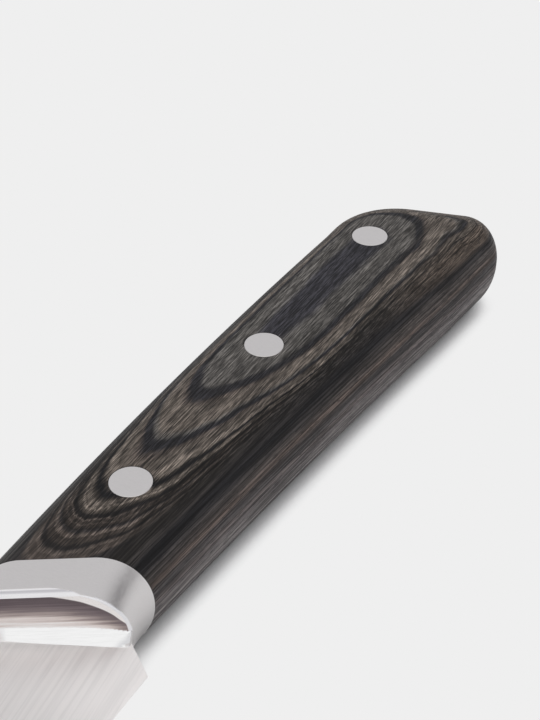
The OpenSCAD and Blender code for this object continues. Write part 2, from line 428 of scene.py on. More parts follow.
class Graph:
    """A short hand for building a node tree."""

    def __init__(self, tree: bpy.types.NodeTree) -> None:
        """Start on a tree.

        Args:
            tree: Node tree of a material, a world or a node group.
        """
        self.tree = tree

    def node(self, kind: str, **settings: object) -> bpy.types.Node:
        """Add a node and set its properties.

        Args:
            kind: Type of the node.
            settings: Its properties.

        Returns:
            The node.
        """
        made = self.tree.nodes.new(kind)
        for key, value in settings.items():
            setattr(made, key, value)
        return made

    def feed(self, socket: Socket, value: object) -> None:
        """Give a socket a link, a colour or a number.

        Args:
            socket: The socket that is fed.
            value: Another node's socket, or a plain value.
        """
        if isinstance(value, Socket):
            self.tree.links.new(value, socket)
        elif isinstance(value, tuple) and len(value) == 3 and socket.type == "RGBA":
            socket.default_value = (*value, 1.0)
        else:
            socket.default_value = value

    def group(self, tree: bpy.types.NodeTree, values: dict[str, object]) -> bpy.types.Node:
        """Place a node group and feed its named inputs.

        Args:
            tree: The group.
            values: What each input gets.

        Returns:
            The group's node.
        """
        made = self.node("ShaderNodeGroup", node_tree=tree)
        for label, value in values.items():
            self.feed(made.inputs[label], value)
        return made

    def math(self, operation: str, first: object, second: object = 0.0, clamp: bool = False) -> Socket:
        """Work out a number from one or two others.

        Args:
            operation: Name of the operation.
            first: Its first value.
            second: Its second value.
            clamp: Whether the result stays from 0 to 1.

        Returns:
            The result.
        """
        made = self.node("ShaderNodeMath", operation=operation, use_clamp=clamp)
        self.feed(made.inputs[0], first)
        self.feed(made.inputs[1], second)
        return made.outputs[0]

    def chain(self, operation: str, parts: Sequence[object]) -> Socket:
        """Join a row of sockets and numbers by one operation.

        Args:
            operation: Name of the operation.
            parts: What is joined, in order.

        Returns:
            The result.
        """
        result = parts[0]
        for part in parts[1:]:
            result = self.math(operation, result, part)
        return result

    def total(self, *parts: object) -> Socket:
        """Add up any number of sockets and numbers."""
        return self.chain("ADD", parts)

    def product(self, *parts: object) -> Socket:
        """Multiply any number of sockets and numbers."""
        return self.chain("MULTIPLY", parts)

    def less(self, first: object, second: object) -> Socket:
        """Take the second value from the first."""
        return self.math("SUBTRACT", first, second)

    def swing(self, noise: Socket, height: float) -> Socket:
        """Let noise swing evenly above and below zero."""
        return self.product(self.less(noise, 0.5), height)

    def split(self, vector: Socket) -> tuple[Socket, Socket, Socket]:
        """Take a vector apart.

        Args:
            vector: The vector.

        Returns:
            Its three parts.
        """
        made = self.node("ShaderNodeSeparateXYZ")
        self.feed(made.inputs[0], vector)
        return made.outputs[0], made.outputs[1], made.outputs[2]

    def join(self, x: object = 0.0, y: object = 0.0, z: object = 0.0) -> Socket:
        """Put a vector together.

        Args:
            x: First part.
            y: Second part.
            z: Third part.

        Returns:
            The vector.
        """
        made = self.node("ShaderNodeCombineXYZ")
        for socket, value in zip(made.inputs, (x, y, z)):
            self.feed(socket, value)
        return made.outputs[0]

    def vector(self, operation: str, first: object, second: object = (0.0, 0.0, 0.0)) -> bpy.types.Node:
        """Add a vector math node.

        Args:
            operation: Name of the operation.
            first: Its first vector.
            second: Its second vector.

        Returns:
            The node.
        """
        made = self.node("ShaderNodeVectorMath", operation=operation)
        self.feed(made.inputs[0], first)
        self.feed(made.inputs[1], second)
        return made

    def span(self, value: object, low: float, high: float, to_low: float = 0, to_high: float = 1) -> Socket:
        """Map a span of values to another one, smoothly and clamped.

        Args:
            value: The value to map.
            low: Where the span begins.
            high: Where it ends.
            to_low: What its beginning becomes.
            to_high: What its end becomes.

        Returns:
            The mapped value.
        """
        made = self.node("ShaderNodeMapRange", interpolation_type="SMOOTHSTEP")
        for socket, item in zip(made.inputs, (value, low, high, to_low, to_high)):
            self.feed(socket, item)
        return made.outputs[0]

    def curve(self, value: object, profile: Profile) -> Socket:
        """Look a value up on a smooth curve.

        Args:
            value: The value to look up.
            profile: The curve, with its places in the value's own units.

        Returns:
            The height of the curve at the value.
        """
        made = self.node("ShaderNodeFloatCurve")
        line = made.mapping.curves[0]
        reach = profile.high - profile.low
        scaled = [((x - profile.low) / reach, y / profile.top) for x, y in profile.points]
        line.points[0].location = scaled[0]
        line.points[1].location = scaled[-1]
        for x, y in scaled[1:-1]:
            line.points.new(x, y)
        made.mapping.update()
        place = self.math("DIVIDE", self.less(value, profile.low), reach, clamp=True)
        self.feed(made.inputs["Value"], place)
        return self.product(made.outputs[0], profile.top)

    def ramp(self, value: object, reach: float, stops: Sequence[Tone]) -> Socket:
        """Colour a value by a row of stops.

        Args:
            value: The value to colour.
            reach: The value at which the ramp ends.
            stops: Each stop's value and colour.

        Returns:
            The colour.
        """
        made = self.node("ShaderNodeValToRGB")
        known = list(made.color_ramp.elements)
        for index, (place, colour) in enumerate(stops):
            stop = known[index] if index < len(known) else made.color_ramp.elements.new(place / reach)
            stop.position = place / reach
            stop.color = (*colour, 1.0)
        self.feed(made.inputs[0], self.math("DIVIDE", value, reach, clamp=True))
        return made.outputs[0]

    def mix(self, factor: object, first: object, second: object, blend: str = "MIX") -> Socket:
        """Mix two colours.

        Args:
            factor: Share of the second one.
            first: The first colour.
            second: The second colour.
            blend: Name of the way in which they mix.

        Returns:
            The mixed colour.
        """
        made = self.node("ShaderNodeMix", data_type="RGBA", blend_type=blend)
        for index, value in ((0, factor), (6, first), (7, second)):
            self.feed(made.inputs[index], value)
        return made.outputs[2]

    def blend(self, factor: Socket, first: Socket, second: Socket) -> Socket:
        """Go from one number to another as a factor rises from zero to one.

        Args:
            factor: Share of the second one.
            first: The first number.
            second: The second number.

        Returns:
            The number between them.
        """
        made = self.node("ShaderNodeMix", data_type="FLOAT")
        for index, value in ((0, factor), (2, first), (3, second)):
            self.feed(made.inputs[index], value)
        return made.outputs[0]

    def noise(self, vector: object, grain: Grain, waves: Socket | None = None) -> Socket:
        """Sample noise.

        Args:
            vector: Where to sample it.
            grain: The noise.
            waves: Its number of waves, where a socket gives them in place of the grain.

        Returns:
            The noise, about one half.
        """
        place = self.node("ShaderNodeMapping")
        self.feed(place.inputs["Vector"], vector)
        self.feed(place.inputs["Scale"], grain.waves if waves is None else waves)
        place.inputs["Location"].default_value = tuple(grain.seed * step for step in SEED_STEPS)
        made = self.node("ShaderNodeTexNoise")
        self.feed(made.inputs["Vector"], place.outputs[0])
        made.inputs["Scale"].default_value = 1.0
        made.inputs["Detail"].default_value = grain.detail
        made.inputs["Roughness"].default_value = grain.rough
        return made.outputs["Fac"]

    def knife_place(self, datum: Datum) -> Socket:
        """Give the place on the knife in millimetres from its own zero.

        Args:
            datum: Where the knife's zero lies.

        Returns:
            The place.
        """
        place = self.node("ShaderNodeMapping")
        self.feed(place.inputs["Vector"], self.node("ShaderNodeTexCoord").outputs["Object"])
        place.inputs["Scale"].default_value = (1 / MM, 1 / MM, 1 / MM)
        place.inputs["Location"].default_value = (-datum.x, -datum.y, 0.0)
        return place.outputs[0]

    def bump(self, height: object, distance: float) -> Socket:
        """Turn a height, in millimetres, into a bumped normal.

        Args:
            height: The height, as a share of the distance.
            distance: Height of a full bump, in millimetres.

        Returns:
            The normal.
        """
        made = self.node("ShaderNodeBump")
        made.inputs["Distance"].default_value = distance * MM
        made.inputs["Strength"].default_value = 1.0
        self.feed(made.inputs["Height"], height)
        return made.outputs[0]


def new_material(name: str) -> tuple[bpy.types.Material, Graph, bpy.types.Node]:
    """Start a material with one Principled shader.

    Args:
        name: Name of the material.

    Returns:
        The material, its graph and its shader node.
    """
    material = bpy.data.materials.new(name)
    material.use_nodes = True
    graph = Graph(material.node_tree)
    shader = next(node for node in material.node_tree.nodes if node.type == "BSDF_PRINCIPLED")
    return material, graph, shader


def new_group(
    name: str, inputs: dict[str, str], outputs: Sequence[str]
) -> tuple[Graph, bpy.types.Node, bpy.types.Node]:
    """Start a node group.

    Args:
        name: Name of the group.
        inputs: The name and the kind of each input.
        outputs: The name of each output, all of them numbers.

    Returns:
        The group's graph, the node of its inputs and the node of its outputs.
    """
    tree = bpy.data.node_groups.new(name, "ShaderNodeTree")
    for label, kind in inputs.items():
        tree.interface.new_socket(label, in_out="INPUT", socket_type=kind)
    for label in outputs:
        tree.interface.new_socket(label, in_out="OUTPUT", socket_type="NodeSocketFloat")
    graph = Graph(tree)
    return graph, graph.node("NodeGroupInput"), graph.node("NodeGroupOutput")


# The laminated wood.


class Veneer(Enum):
    """Tones of the veneers, of the glue lines between them and of the open pores."""

    CORE = srgb(45, 44, 49)
    GREY = srgb(84, 81, 78)
    LINE = srgb(32, 31, 34)
    TAN = srgb(98, 90, 83)
    BROWN = srgb(77, 69, 64)
    BUTT = srgb(84, 74, 66)
    COAL = srgb(27, 26, 28)
    PORE = srgb(22, 21, 23)


# Each tone and how many veneers below the crown of the cheek it lies.
VENEERS = (
    (0.13, Veneer.CORE), (0.28, Veneer.GREY), (0.82, Veneer.GREY), (0.9, Veneer.LINE),
    (1.1, Veneer.LINE), (1.18, Veneer.BROWN), (1.3, Veneer.TAN), (1.74, Veneer.TAN),
    (1.85, Veneer.GREY), (1.93, Veneer.LINE), (2.08, Veneer.LINE), (2.15, Veneer.BROWN),
    (2.25, Veneer.TAN), (2.68, Veneer.TAN), (2.79, Veneer.LINE), (2.88, Veneer.LINE),
    (2.95, Veneer.TAN), (3.2, Veneer.TAN), (3.28, Veneer.COAL), (3.37, Veneer.COAL),
    (3.44, Veneer.BROWN), (3.66, Veneer.BROWN), (3.74, Veneer.COAL), (3.8, Veneer.COAL),
    (3.88, Veneer.BROWN), (4.1, Veneer.BROWN), (4.18, Veneer.COAL), (4.26, Veneer.COAL),
    (4.36, Veneer.BROWN), (4.64, Veneer.BROWN), (4.8, Veneer.COAL), (6.4, Veneer.COAL),
)

# Tones of the flanks' bands and how many millimetres below the upper cheek each one lies. They are partly the
# wood's own layers and partly painted light: a painted dark band where the flank turns from the cheek, and a
# painted lighter lower flank where the sheet's bounce falls.
FLANK_BANDS_AND_PAINTED_LIGHT = (
    (0.9, srgb(44, 41, 39)), (1.8, srgb(44, 41, 40)), (2.6, Veneer.COAL.value), (3.2, Veneer.COAL.value),
    (3.8, srgb(46, 43, 43)), (4.6, srgb(64, 59, 57)), (5.6, srgb(70, 63, 60)), (6.1, srgb(90, 78, 72)),
    (6.6, srgb(74, 66, 63)), (7.2, srgb(62, 58, 58)), (8.2, srgb(68, 64, 64)), (9.1, srgb(99, 91, 89)),
    (9.8, srgb(90, 84, 84)), (11.0, srgb(102, 97, 96)), (13.0, srgb(110, 105, 104)),
    (14.6, srgb(80, 76, 76)), (15.8, srgb(84, 77, 74)), (17.2, Veneer.COAL.value),
)


@dataclass(frozen=True)
class VeneerLoops:
    """How the worked cheek cuts the veneers into loops, by places behind the middle rivet."""

    rivet_middle: float = -54.5
    crown_from: float = 4.0
    steepness: float = 1.75
    pull_unit: float = 0.001
    inner_share: float = 0.55
    crown_line: Profile = Profile(-60, 60, 8.0, (
        (-60, 1.5), (-45, 2.0), (-28, 2.2), (-15, 1.4), (-5, 2.2), (5, 3.0), (20, 3.5), (38, 4.0), (42, 4.5),
        (44, 5.0), (46, 5.7), (50, 6.2), (60, 7.0),
    ))
    fall_along: Profile = Profile(-60, 60, 6.0, (
        (-60, 5.0), (-50, 3.9), (-45.6, 3.33), (-44, 3.1), (-40.5, 2.8), (-36, 2.38), (-33, 2.17),
        (-28.8, 1.99), (-27, 1.87), (-25, 1.74), (-22, 1.53), (-18, 1.17), (-15, 0.99), (-14, 0.91),
        (-12, 0.775), (-10, 0.63), (-6, 0.43), (-2, 0.27), (2, 0.14), (10, 0.02), (20, 0.0), (34, 0.0),
        (38, 0.04), (40, 0.16), (42, 0.32), (44, 0.58), (46, 0.9), (48, 1.12), (51, 1.4), (60, 2.2),
    ))
    belly_pull: Profile = Profile(-60, 60, 60.0, (
        (-60, 26.9), (0, 26.9), (34, 25.0), (38, 22.9), (42, 22.6), (45, 19.0), (46, 16.0), (50, 10.5),
        (60, 9.5),
    ))
    spine_pull: Profile = Profile(-60, 60, 60.0, (
        (-60, 49.0), (34, 49.0), (40, 41.0), (42, 38.0), (44, 29.0), (46, 20.0), (60, 15.0),
    ))
    ripples: tuple[tuple[Grain, float], ...] = (
        (Grain((0.05, 0.12, 0.12), 2.0, 0.5, 3.1), 0.3),
        (Grain((0.3, 2.6, 2.6), 3.0, 0.65, 8.4), 0.2),
        (Grain((0.5, 7.0, 7.0), 2.0, 0.6, 4.4), 0.1),
    )

    def fall(self, graph: Graph, aside: Socket, pull: Socket) -> Socket:
        """Work out how far the veneers fall away to one side of the crown."""
        return graph.product(graph.math("POWER", aside, self.steepness), graph.product(pull, self.pull_unit))

    def depth(self, graph: Graph, place: Socket, thickness: float) -> Socket:
        """Work out how many veneers below the crown of the cheek a point lies.

        Args:
            graph: Graph of the material.
            place: Place on the knife in millimetres.
            thickness: Thickness of the handle.

        Returns:
            The depth, about one for each veneer.
        """
        x, y, z = graph.split(place)
        back = graph.less(self.rivet_middle, x)
        aside = graph.less(graph.total(y, self.crown_from), graph.curve(back, self.crown_line))
        toward_belly = graph.math("MAXIMUM", aside, 0.0)
        toward_spine = graph.math("MAXIMUM", graph.product(aside, -1.0), 0.0)
        crown = graph.total(
            graph.curve(back, self.fall_along),
            self.fall(graph, toward_belly, graph.curve(back, self.belly_pull)),
            self.fall(graph, toward_spine, graph.curve(back, self.spine_pull)),
        )
        half = thickness / 2
        down = graph.less(half, graph.math("ABSOLUTE", graph.less(z, half)))
        fading = graph.product(crown, graph.span(down, 0.0, half, 1.0, self.inner_share))
        rough = [graph.swing(graph.noise(place, grain), height) for grain, height in self.ripples]
        return graph.total(down, fading, *rough)


@dataclass(frozen=True)
class WoodFibres:
    """The wood's fibres: light and dark hairlines along the grain, and open pores."""

    hair: Grain = Grain((0.18, 4.0, 4.0), 3.0, 0.72, 1.3)
    hair_on_cheek: Span = (0.39, 0.61, 0.5, 1.56)
    hair_on_flank: Span = (0.34, 0.66, 0.84, 1.16)
    dash: Grain = Grain((0.42, 5.6, 5.6), 2.0, 0.6, 6.1)
    dash_light: Span = (0.38, 0.64, 0.62, 1.48)
    streak: Grain = Grain((0.05, 1.7, 1.7), 3.0, 0.6, 5.9)
    streak_light: Span = (0.34, 0.66, 0.82, 1.22)
    ring: Grain = Grain((1.0, 5.4, 1.0), 2.0, 0.6, 3.7)
    ring_light: Span = (0.41, 0.6, 0.42, 1.4)
    ring_stretch: float = 0.012
    long_hair: Grain = Grain((0.012, 0.9, 3.4), 3.0, 0.7, 2.8)
    long_light: Span = (0.4, 0.61, 0.58, 1.6)
    stripes: Grain = Grain((0.006, 0.4, 2.2), 2.0, 0.6, 9.2)
    stripe_light: Span = (0.38, 0.62, 0.62, 1.36)
    pores: Grain = Grain((0.3, 6.0, 6.0), 2.0, 0.5, 11.7)
    pore_open: Span = (0.56, 0.66, 0.0, 0.7)
    rings_begin: Point = (1.9, 2.8)
    flank_begins: Point = (3.6, 5.6)

    def draw(self, graph: Graph, place: Socket, depth: Socket) -> tuple[Socket, Socket]:
        """Draw the fibres.

        Args:
            graph: Graph of the material.
            place: Place on the knife in millimetres.
            depth: Depth in veneers.

        Returns:
            How light each fibre is, about one, and how open a pore is.
        """
        hair = graph.noise(place, self.hair)
        rings = graph.join(graph.product(graph.split(place)[0], self.ring_stretch), depth)
        cheek = graph.product(
            graph.span(hair, *self.hair_on_cheek),
            graph.span(graph.noise(place, self.dash), *self.dash_light),
            graph.span(graph.noise(place, self.streak), *self.streak_light),
        )
        ringed = graph.product(cheek, graph.span(graph.noise(rings, self.ring), *self.ring_light))
        flank = graph.product(
            graph.span(graph.noise(place, self.long_hair), *self.long_light),
            graph.span(graph.noise(place, self.stripes), *self.stripe_light),
            graph.span(hair, *self.hair_on_flank),
        )
        cheek = graph.blend(graph.span(depth, *self.rings_begin), cheek, ringed)
        light = graph.blend(graph.span(depth, *self.flank_begins), cheek, flank)
        return light, graph.span(graph.noise(place, self.pores), *self.pore_open)


@dataclass(frozen=True)
class LaminatedWood:
    """Dark veneers glued into one block: the worked surface cuts them into loops and stripes."""

    loops: VeneerLoops = VeneerLoops()
    fibres: WoodFibres = WoodFibres()
    deepest: float = 12.0
    wave: Grain = Grain((0.012, 0.5, 1.1), 2.0, 0.5, 13.3)
    wave_height: float = 1.6
    outer_begins: Point = (2.95, 3.25)
    outer_ends: Point = (6.6, 5.2)
    outer_toward_butt: Span = (-66.0, -100.0, 0.12, 0.6)
    brown_toward_butt: Span = (-66.0, -100.0, 0.0, 0.85)
    brown_down_to: Point = (3.4, 2.0)
    painted_rim_shade: Span = (0.02, 0.3, 1.0, 0.66)
    flank_top: Point = (0.1, 1.0)
    flank_bottom: Point = (18.5, 17.6)
    roughness: Span = (0.6, 1.4, 0.62, 0.48)
    shine: float = 0.2
    fibre_height: float = 0.5
    relief: float = 0.025

    def tones(self, graph: Graph, place: Socket, depth: Socket, thickness: float) -> Socket:
        """Lay the veneers' tones on the cheeks and the bands on the flanks, with painted shade and light: the
        cheek darker where it turns into the flank, the flank darker at that turn and lighter lower down.

        Args:
            graph: Graph of the material.
            place: Place on the knife in millimetres.
            depth: Depth in veneers.
            thickness: Thickness of the handle.

        Returns:
            The colour of the wood without its fibres.
        """
        x, _, z = graph.split(place)
        cheek = graph.ramp(depth, self.deepest, [(at, veneer.value) for at, veneer in VENEERS])
        outer = graph.product(
            graph.span(depth, *self.outer_begins),
            graph.span(depth, *self.outer_ends),
            graph.span(x, *self.outer_toward_butt),
        )
        cheek = graph.mix(outer, cheek, Veneer.BUTT.value)
        wavy = graph.swing(graph.noise(place, self.wave), self.wave_height)
        down = graph.total(graph.less(thickness, z), wavy)
        # Painted shade: the cheek darkens where its surface falls away toward the flank, along a wavy line.
        cheek = graph.mix(1.0, cheek, graph.span(down, *self.painted_rim_shade), "MULTIPLY")
        brown = graph.product(graph.span(x, *self.brown_toward_butt), graph.span(down, *self.brown_down_to))
        # The flank's bands hold painted light as well as the wood's layers: darker at the turn, lighter lower
        # down.
        side = graph.mix(brown, graph.ramp(down, thickness, FLANK_BANDS_AND_PAINTED_LIGHT), Veneer.BUTT.value)
        flank = graph.product(graph.span(down, *self.flank_top), graph.span(down, *self.flank_bottom))
        return graph.mix(flank, cheek, side)

    def build(self, datum: Datum, form: HandleForm) -> bpy.types.Material:
        """Build the material.

        Args:
            datum: Where the knife's zero lies.
            form: Form of the handle.

        Returns:
            The finished material.
        """
        material, graph, shader = new_material("laminated_wood")
        place = graph.knife_place(datum)
        depth = self.loops.depth(graph, place, form.thickness)
        colour = self.tones(graph, place, depth, form.thickness)
        light, pore = self.fibres.draw(graph, place, depth)
        tone = graph.mix(1.0, colour, light, "MULTIPLY")
        graph.feed(shader.inputs["Base Color"], graph.mix(pore, tone, Veneer.PORE.value))
        graph.feed(shader.inputs["Roughness"], graph.span(light, *self.roughness))
        shader.inputs["Specular IOR Level"].default_value = self.shine
        relief = graph.less(graph.product(light, self.fibre_height), pore)
        graph.feed(shader.inputs["Normal"], graph.bump(relief, self.relief))
        return material


# The steel.


class SteelSurface(Enum):
    """How a steel surface was last worked."""

    BELT_SATIN = "belt_satin"
    GROUND = "ground"
    BUFFED = "buffed"


@dataclass(frozen=True)
class Scratches:
    """How the scratches of one kind of working lie."""

    waves: Triple
    turn: float
    darkest: float


SCRATCHES = {
    SteelSurface.BELT_SATIN: Scratches((3.0, 0.5, 3.0), 0.0, 0.97),
    SteelSurface.GROUND: Scratches((0.02, 0.9, 0.9), 7.7, 0.925),
    SteelSurface.BUFFED: Scratches((1.6, 0.1, 2.2), HandleForm.slant, 0.97),
}

# Painted reflections, as tones by the height from the middle plane, in millimetres. On the nose a dark band
# fades to white toward the foot, in place of the dark surroundings and the bright sheet that the polished
# nose would reflect; on the rim a grey line between white bands stands for two highlight lines.
NOSE_PAINTED_REFLECTION = (
    (3.3, WHITE), (3.8, srgb(246, 240, 238)), (4.4, srgb(222, 212, 209)), (5.0, srgb(182, 171, 169)),
    (5.9, srgb(141, 131, 133)), (7.2, srgb(117, 107, 112)), (8.1, srgb(108, 99, 103)),
)
RIM_PAINTED_HIGHLIGHTS = (
    (8.75, WHITE), (8.9, srgb(218, 217, 220)), (9.04, srgb(212, 211, 214)), (9.14, WHITE),
)

# Height of the painted reflection's upper end along the nose, from the spine to the belly.
NOSE_RIM = Profile(-12.0, 12.0, 10.0, (
    (-12.0, 2.0), (-9.0, 5.6), (-7.5, 7.0), (-5.5, 8.3), (-4.0, 8.7), (2.0, 8.7), (3.0, 8.45), (4.0, 8.15),
    (5.0, 7.8), (6.2, 7.3), (7.0, 6.8), (8.5, 5.7), (9.5, 4.7), (10.3, 3.6), (12.0, 1.5),
))


@dataclass
class SteelEffects:
    """The node groups that the steel finishes share, built once."""

    fine: Grain = Grain((3.0, 3.0, 3.0), 4.0, 0.6, 2.2)
    fine_share: float = 0.7
    broad: Grain = Grain((1.0, 1.0, 1.0), 2.0, 0.5, 7.3)
    streaks: Grain = Grain((0.9, 0.07, 2.8), 3.0, 0.6, 4.2)
    scratches: bpy.types.NodeTree = field(init=False)
    streaked_height: bpy.types.NodeTree = field(init=False)

    def __post_init__(self) -> None:
        """Build both groups."""
        self.scratches = self.build_scratches()
        self.streaked_height = self.build_streaked_height()

    def build_scratches(self) -> bpy.types.NodeTree:
        """Build the group that draws fine and broad scratches.

        Returns:
            The group: a place and the scratches' waves go in, both scratches and their shade come out.
        """
        inputs = {"Along": "NodeSocketVector", "Waves": "NodeSocketVector"}
        graph, inlet, outlet = new_group("steel_scratches", inputs, ("Fine", "Broad", "Shade"))
        along, waves = inlet.outputs["Along"], inlet.outputs["Waves"]
        fine = graph.noise(along, self.fine, graph.vector("MULTIPLY", waves, self.fine.waves).outputs[0])
        broad = graph.noise(along, self.broad, waves)
        shade = graph.total(graph.product(fine, self.fine_share), graph.product(broad, 1 - self.fine_share))
        for label, value in (("Fine", fine), ("Broad", broad), ("Shade", shade)):
            graph.feed(outlet.inputs[label], value)
        return graph.tree

    def build_streaked_height(self) -> bpy.types.NodeTree:
        """Build the group that measures the height from the middle plane, plain and in streaks.

        Returns:
            The group: a place, a height, the middle's height and the streaks' strength go in, the height
            from the middle comes out, first plain and then in streaks.
        """
        inputs = dict.fromkeys(("Height", "Middle", "Streak"), "NodeSocketFloat")
        inputs["Along"] = "NodeSocketVector"
        graph, inlet, outlet = new_group("streaked_height", inputs, ("Level", "Rise"))
        level = graph.math("ABSOLUTE", graph.less(inlet.outputs["Height"], inlet.outputs["Middle"]))
        streaks = graph.less(graph.noise(inlet.outputs["Along"], self.streaks), 0.5)
        graph.feed(outlet.inputs["Level"], level)
        graph.feed(outlet.inputs["Rise"], graph.total(level, graph.product(streaks, inlet.outputs["Streak"])))
        return graph.tree


@dataclass(frozen=True)
class SteelFinish:
    """Stainless steel with the fine scratches that its last working left."""

    surface: SteelSurface
    colour: Colour
    roughness: float
    scratch: float
    mirrored: float = 1.0
    painted_light_near_nose: Span | None = None
    painted_reflection: tuple[Tone, ...] = ()
    streak: float = 0.0
    rim: Profile | None = None
    fillet: float = 0.0
    shade: Point = (0.36, 0.6)
    lightest: float = 1.01
    rough_places: Point = (0.3, 0.7)
    rough_swing: float = 0.15
    painted_reflection_reach: float = 10.0
    rim_top: float = 8.7
    rim_follow: float = 0.6
    rim_edge: Point = (-0.14, 0.1)

    def build(self, name: str, datum: Datum, form: HandleForm, effects: SteelEffects) -> bpy.types.Material:
        """Build the material.

        Args:
            name: Name of the material.
            datum: Where the knife's zero lies.
            form: Form of the handle.
            effects: The node groups that the steel finishes share.

        Returns:
            The finished material.
        """
        material, graph, shader = new_material(name)
        place = graph.knife_place(datum)
        lines = SCRATCHES[self.surface]
        turned = graph.node("ShaderNodeMapping")
        graph.feed(turned.inputs["Vector"], place)
        turned.inputs["Rotation"].default_value = (0.0, 0.0, math.radians(-lines.turn))
        along = turned.outputs[0]
        worked = graph.group(effects.scratches, {"Along": along, "Waves": lines.waves})
        shade = graph.span(worked.outputs["Shade"], *self.shade, lines.darkest, self.lightest)
        tone = graph.mix(1.0, self.colour, shade, "MULTIPLY")
        # Painted light: the steel is lighter close to the bolster's nose and darker farther toward the point.
        if self.painted_light_near_nose:
            tone = graph.mix(1.0, tone, graph.span(graph.split(place)[0], *self.painted_light_near_nose), "MULTIPLY")
        # Painted reflections: the colour is darkened in bands by height from the middle plane.
        if self.painted_reflection:
            z = graph.split(place)[2]
            values = {"Along": along, "Height": z, "Middle": form.middle, "Streak": self.streak}
            height = graph.group(effects.streaked_height, values)
            tone = graph.mix(1.0, tone, self.painted_reflection_tone(graph, place, height), "MULTIPLY")
        graph.feed(shader.inputs["Base Color"], tone)
        shader.inputs["Metallic"].default_value = self.mirrored
        limits = (self.roughness * (1 - self.rough_swing), self.roughness * (1 + self.rough_swing))
        rough = graph.span(worked.outputs["Broad"], *self.rough_places, *limits)
        graph.feed(shader.inputs["Roughness"], rough)
        if self.fillet:
            graph.feed(shader.inputs["Normal"], self.fillet_normal(graph, place, form))
        else:
            graph.feed(shader.inputs["Normal"], graph.bump(worked.outputs["Fine"], self.scratch))
        return material

    def fillet_normal(self, graph: Graph, place: Socket, form: HandleForm) -> Socket:
        """Turn the normals toward the cheeks, as the polished fillet under the nose does.

        Args:
            graph: Graph of the material.
            place: Place on the knife in millimetres.
            form: Form of the handle.

        Returns:
            The normal.
        """
        side = graph.math("SIGN", graph.less(graph.split(place)[2], form.middle))
        lift = graph.join(z=graph.product(side, self.fillet))
        raised = graph.vector("ADD", graph.node("ShaderNodeNewGeometry").outputs["Normal"], lift)
        return graph.vector("NORMALIZE", raised.outputs[0]).outputs[0]

    def painted_reflection_tone(self, graph: Graph, place: Socket, height: bpy.types.Node) -> Socket:
        """Paint reflections into the steel's colour by its height from the middle plane, in streaks along the
        nose.

        Args:
            graph: Graph of the material.
            place: Place on the knife in millimetres.
            height: The group that measures the height.

        Returns:
            The painted reflection's colour, white where none is painted.
        """
        if not self.rim:
            return graph.ramp(height.outputs["Rise"], self.painted_reflection_reach, self.painted_reflection)
        end = graph.curve(graph.split(place)[1], self.rim)
        lift = graph.product(graph.less(self.rim_top, end), self.rim_follow)
        rise = graph.total(height.outputs["Rise"], lift)
        unpainted = graph.span(graph.less(height.outputs["Level"], end), *self.rim_edge)
        return graph.mix(unpainted, graph.ramp(rise, self.painted_reflection_reach, self.painted_reflection), WHITE)


# The pieces.


